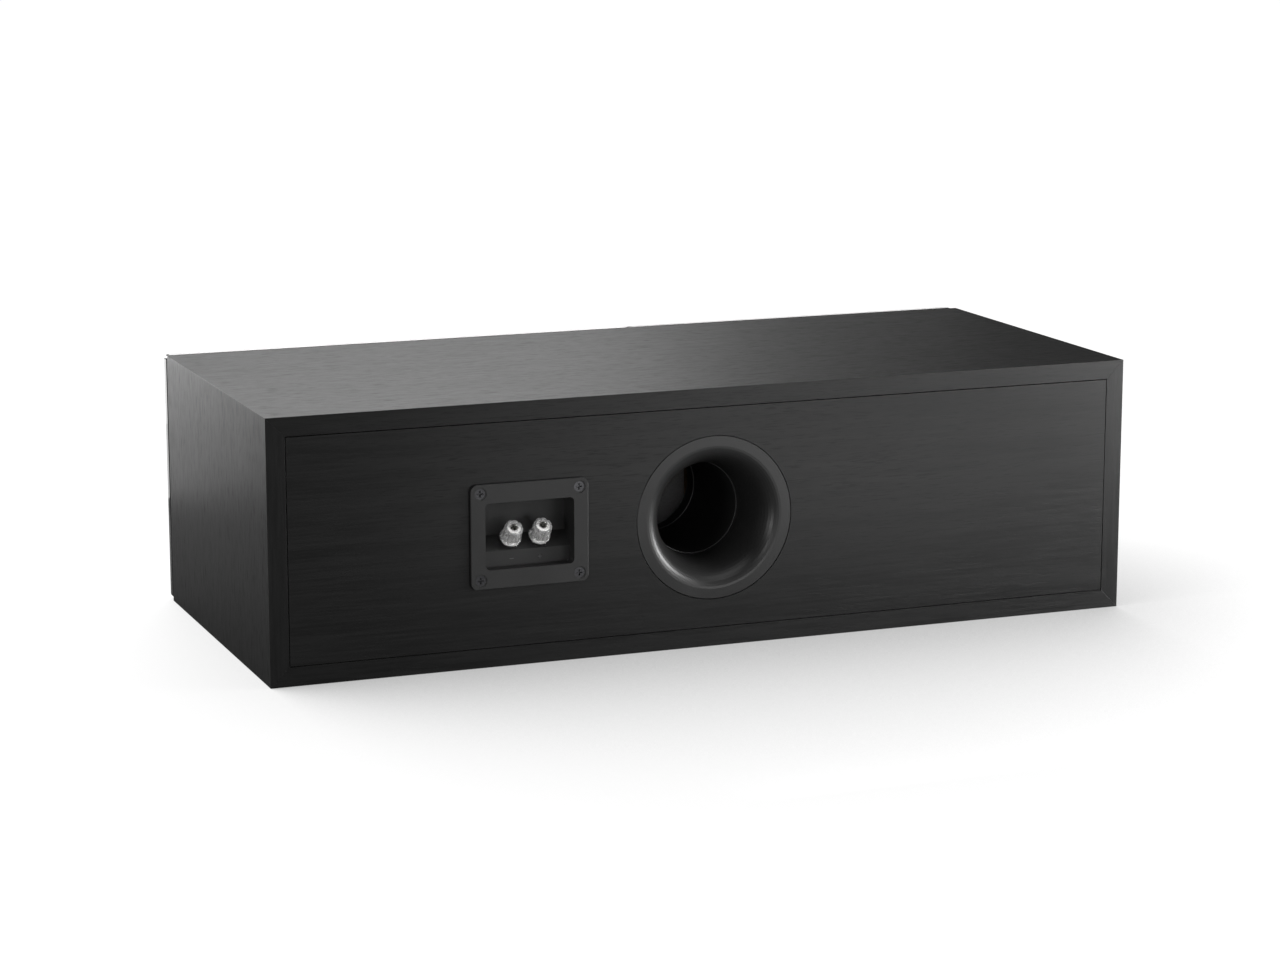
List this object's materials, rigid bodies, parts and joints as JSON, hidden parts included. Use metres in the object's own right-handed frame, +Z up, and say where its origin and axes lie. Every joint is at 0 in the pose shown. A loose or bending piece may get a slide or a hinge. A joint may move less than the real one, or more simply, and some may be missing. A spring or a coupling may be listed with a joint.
{
  "type": "centre speaker",
  "caption": "Low, wide two-way loudspeaker with a rear reflex port, a recessed terminal cup and screw-down binding posts.",
  "frame": {"origin": "middle of the cabinet's bottom face, halfway between the front panel's face and the back", "axes": "+X to the cabinet's left end as seen from behind, -Y towards the listener (drivers), +Y towards the back (port and terminals), +Z up"},
  "size_m": [0.58, 0.2589, 0.166],
  "materials": {
    "black_ash": "black ash-grain vinyl over board, satin",
    "raw_board": "bare fibreboard",
    "black_board": "fibreboard painted matt black",
    "gloss_black": "gloss black lacquer",
    "foam": "open-cell damping foam",
    "port_plastic": "satin black moulded plastic",
    "port_card": "black wound card tube",
    "cup_plastic": "fine-textured black moulding",
    "seal_foam": "closed-cell foam seal",
    "black_screws": "black oxide",
    "plated_brass": "nickel-plated brass",
    "clear_plastic": "clear polished plastic",
    "circuit_board": "green solder mask",
    "nylon": "natural nylon",
    "copper": "enamelled copper wire",
    "capacitor_film": "wrapped film",
    "resistor_ceramic": "cement filled",
    "lead_insulation": "insulation",
    "cast_basket": "black paint on cast alloy",
    "surround_rubber": "butyl rubber",
    "cone_fibre": "black fibre pulp",
    "dust_cap_plastic": "satin black",
    "spider_cloth": "resin-dipped cloth",
    "motor_steel": "zinc-plated steel",
    "ferrite": "sintered ferrite",
    "tweeter_plastic": "satin black moulding",
    "dome_silk": "coated silk"
  },
  "bodies": {
    "root": {"cabinet_top": "black_ash", "cabinet_bottom": "black_ash", "cabinet_left_side": "black_ash", "cabinet_right_side": "black_ash", "rear_panel": "black_ash", "rear_battens": "raw_board", "front_baffle": "black_board", "front_panel": "gloss_black", "cabinet_braces": "raw_board", "damping_pads": "foam", "port_flare": "port_plastic", "port_tube": "port_card", "port_inner_flare": "port_plastic", "terminal_cup": "cup_plastic", "terminal_seal": "seal_foam", "terminal_screws": "black_screws", "positive_post_stud": "plated_brass", "negative_post_stud": "plated_brass", "post_nuts": "plated_brass", "solder_tags": "plated_brass", "crossover_board": "circuit_board", "crossover_supports": "nylon", "crossover_coils": "copper", "crossover_capacitors": "capacitor_film", "crossover_resistors": "resistor_ceramic", "internal_leads": "lead_insulation", "left_woofer_basket": "cast_basket", "left_woofer_surround": "surround_rubber", "left_woofer_spider": "spider_cloth", "left_woofer_top_plate": "motor_steel", "left_woofer_magnet": "ferrite", "left_woofer_back_plate": "motor_steel", "right_woofer_basket": "cast_basket", "right_woofer_surround": "surround_rubber", "right_woofer_spider": "spider_cloth", "right_woofer_top_plate": "motor_steel", "right_woofer_magnet": "ferrite", "right_woofer_back_plate": "motor_steel", "driver_gaskets": "seal_foam", "driver_screws": "black_screws", "tweeter_faceplate": "tweeter_plastic", "tweeter_surround": "dome_silk", "tweeter_plates": "motor_steel", "tweeter_magnet": "ferrite", "tweeter_chamber": "tweeter_plastic"},
    "left_cone": {"left_woofer_cone": "cone_fibre", "left_woofer_dust_cap": "dust_cap_plastic", "left_woofer_voice_coil": "copper"},
    "right_cone": {"right_woofer_cone": "cone_fibre", "right_woofer_dust_cap": "dust_cap_plastic", "right_woofer_voice_coil": "copper"},
    "tweeter_diaphragm": {"tweeter_dome": "dome_silk"},
    "positive_clamp": {"positive_post_washer": "plated_brass"},
    "positive_knob": {"positive_post_cap": "clear_plastic", "positive_post_core": "plated_brass"},
    "negative_clamp": {"negative_post_washer": "plated_brass"},
    "negative_knob": {"negative_post_cap": "clear_plastic", "negative_post_core": "plated_brass"}
  },
  "joints": [
    {"name": "left_cone_stroke", "type": "slide", "parent": "root", "child": "left_cone", "axis": [0, -1, 0], "range_m": [-0.004, 0.004], "stiffness_N_per_m": 1000, "deforming": ["left_woofer_surround", "left_woofer_spider"]},
    {"name": "right_cone_stroke", "type": "slide", "parent": "root", "child": "right_cone", "axis": [0, -1, 0], "range_m": [-0.004, 0.004], "stiffness_N_per_m": 1000, "deforming": ["right_woofer_surround", "right_woofer_spider"]},
    {"name": "tweeter_stroke", "type": "slide", "parent": "root", "child": "tweeter_diaphragm", "axis": [0, -1, 0], "range_m": [-0.0003, 0.0003], "stiffness_N_per_m": 3000, "deforming": ["tweeter_surround"]},
    {"name": "positive_cap_rise", "type": "slide", "parent": "root", "child": "positive_clamp", "axis": [0, 0.682, 0.7314], "range_m": [0, 0.004]},
    {"name": "positive_cap_turn", "type": "hinge", "parent": "positive_clamp", "child": "positive_knob", "pos_m": [0.1145, 0.1165, 0.076], "axis": [0, 0.682, 0.7314], "range_deg": [-4, 1444]},
    {"name": "negative_cap_rise", "type": "slide", "parent": "root", "child": "negative_clamp", "axis": [0, 0.682, 0.7314], "range_m": [0, 0.004]},
    {"name": "negative_cap_turn", "type": "hinge", "parent": "negative_clamp", "child": "negative_knob", "pos_m": [0.1335, 0.1165, 0.076], "axis": [0, 0.682, 0.7314], "range_deg": [-4, 1444]}
  ],
  "couplings": [
    {"joint": "positive_cap_turn", "follows": "positive_cap_rise", "rad_per_m": 6283.2},
    {"joint": "negative_cap_turn", "follows": "negative_cap_rise", "rad_per_m": 6283.2}
  ]
}
